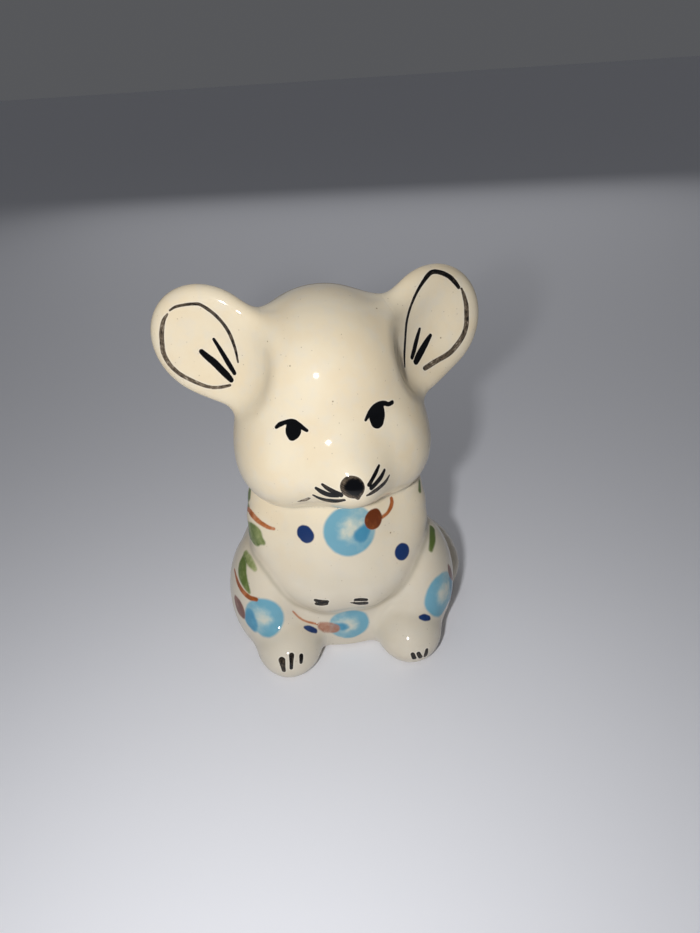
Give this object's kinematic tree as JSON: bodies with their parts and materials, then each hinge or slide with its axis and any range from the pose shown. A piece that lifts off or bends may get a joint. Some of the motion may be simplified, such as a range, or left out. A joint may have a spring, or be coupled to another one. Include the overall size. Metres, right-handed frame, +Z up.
{
  "type": "mouse figurine",
  "caption": "Small seated mouse figurine of glazed stoneware, hollow-cast, with round dished ears, folded arms, a curled tail and a flat base; painted folk dots and sprigs. Stands on a shelf.",
  "frame": {"origin": "centre of the flat base on the axis of the body, where it rests", "axes": "+Z up, the mouse faces -Y, +X is the mouse's own left"},
  "size_m": [0.0627, 0.0528, 0.0784],
  "materials": {
    "glazed_stoneware": "gloss"
  },
  "bodies": {
    "root": {"torso": "glazed_stoneware", "head": "glazed_stoneware", "left_ear": "glazed_stoneware", "right_ear": "glazed_stoneware", "left_arm": "glazed_stoneware", "right_arm": "glazed_stoneware", "left_haunch": "glazed_stoneware", "right_haunch": "glazed_stoneware", "left_foot": "glazed_stoneware", "right_foot": "glazed_stoneware", "tail": "glazed_stoneware"}
  },
  "joints": []
}
